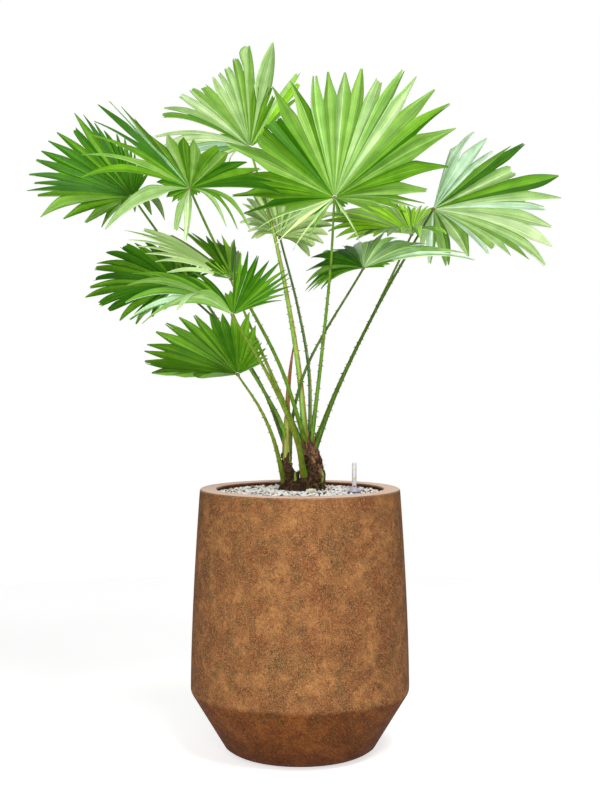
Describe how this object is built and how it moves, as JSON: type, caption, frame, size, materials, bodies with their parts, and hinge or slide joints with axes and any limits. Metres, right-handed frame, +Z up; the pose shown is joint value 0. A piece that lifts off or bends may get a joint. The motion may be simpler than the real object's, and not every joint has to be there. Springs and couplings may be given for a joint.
{
  "type": "potted fan palm",
  "caption": "Fan palm with round pleated leaves on long arching stalks, growing from short fibrous stems in a tall round pot filled with granules.",
  "frame": {"origin": "centre of the pot's flat underside, on the floor", "axes": "+Z up; -Y is the front, the side the picture shows; +X to the right of it"},
  "size_m": [1.0451, 0.668, 1.4426],
  "materials": {
    "pot": "mottled matt fibre composite",
    "granules": "loose mineral granules",
    "bark": "rough fibrous bark",
    "stalk": "smooth green leaf stalk",
    "spear": "rolled young leaf",
    "stub": "cut stalk end",
    "blade": "waxy pleated leaf",
    "gauge_tube": "smooth pale plastic",
    "gauge_foot": "smooth grey plastic"
  },
  "bodies": {
    "root": {"pot": "pot", "substrate": "granules", "stem_main": "bark", "stem_left": "bark", "root_mound": "bark", "spear_leaf": "spear", "cut_stub_green": "stub", "cut_stub_pale": "stub", "gauge_foot": "gauge_foot", "gauge_tube": "gauge_tube", "frond_far_left": "blade", "stalk_far_left": "stalk", "frond_left_high": "blade", "stalk_left_high": "stalk", "frond_crown_left": "blade", "stalk_crown_left": "stalk", "frond_crown_right": "blade", "stalk_crown_right": "stalk", "frond_back_middle": "blade", "stalk_back_middle": "stalk", "frond_far_right": "blade", "stalk_far_right": "stalk", "frond_right_inner": "blade", "stalk_right_inner": "stalk", "frond_right_low": "blade", "stalk_right_low": "stalk", "frond_left_back": "blade", "stalk_left_back": "stalk", "frond_left_front": "blade", "stalk_left_front": "stalk", "frond_left_middle": "blade", "stalk_left_middle": "stalk", "frond_left_low": "blade", "stalk_left_low": "stalk"}
  },
  "joints": []
}
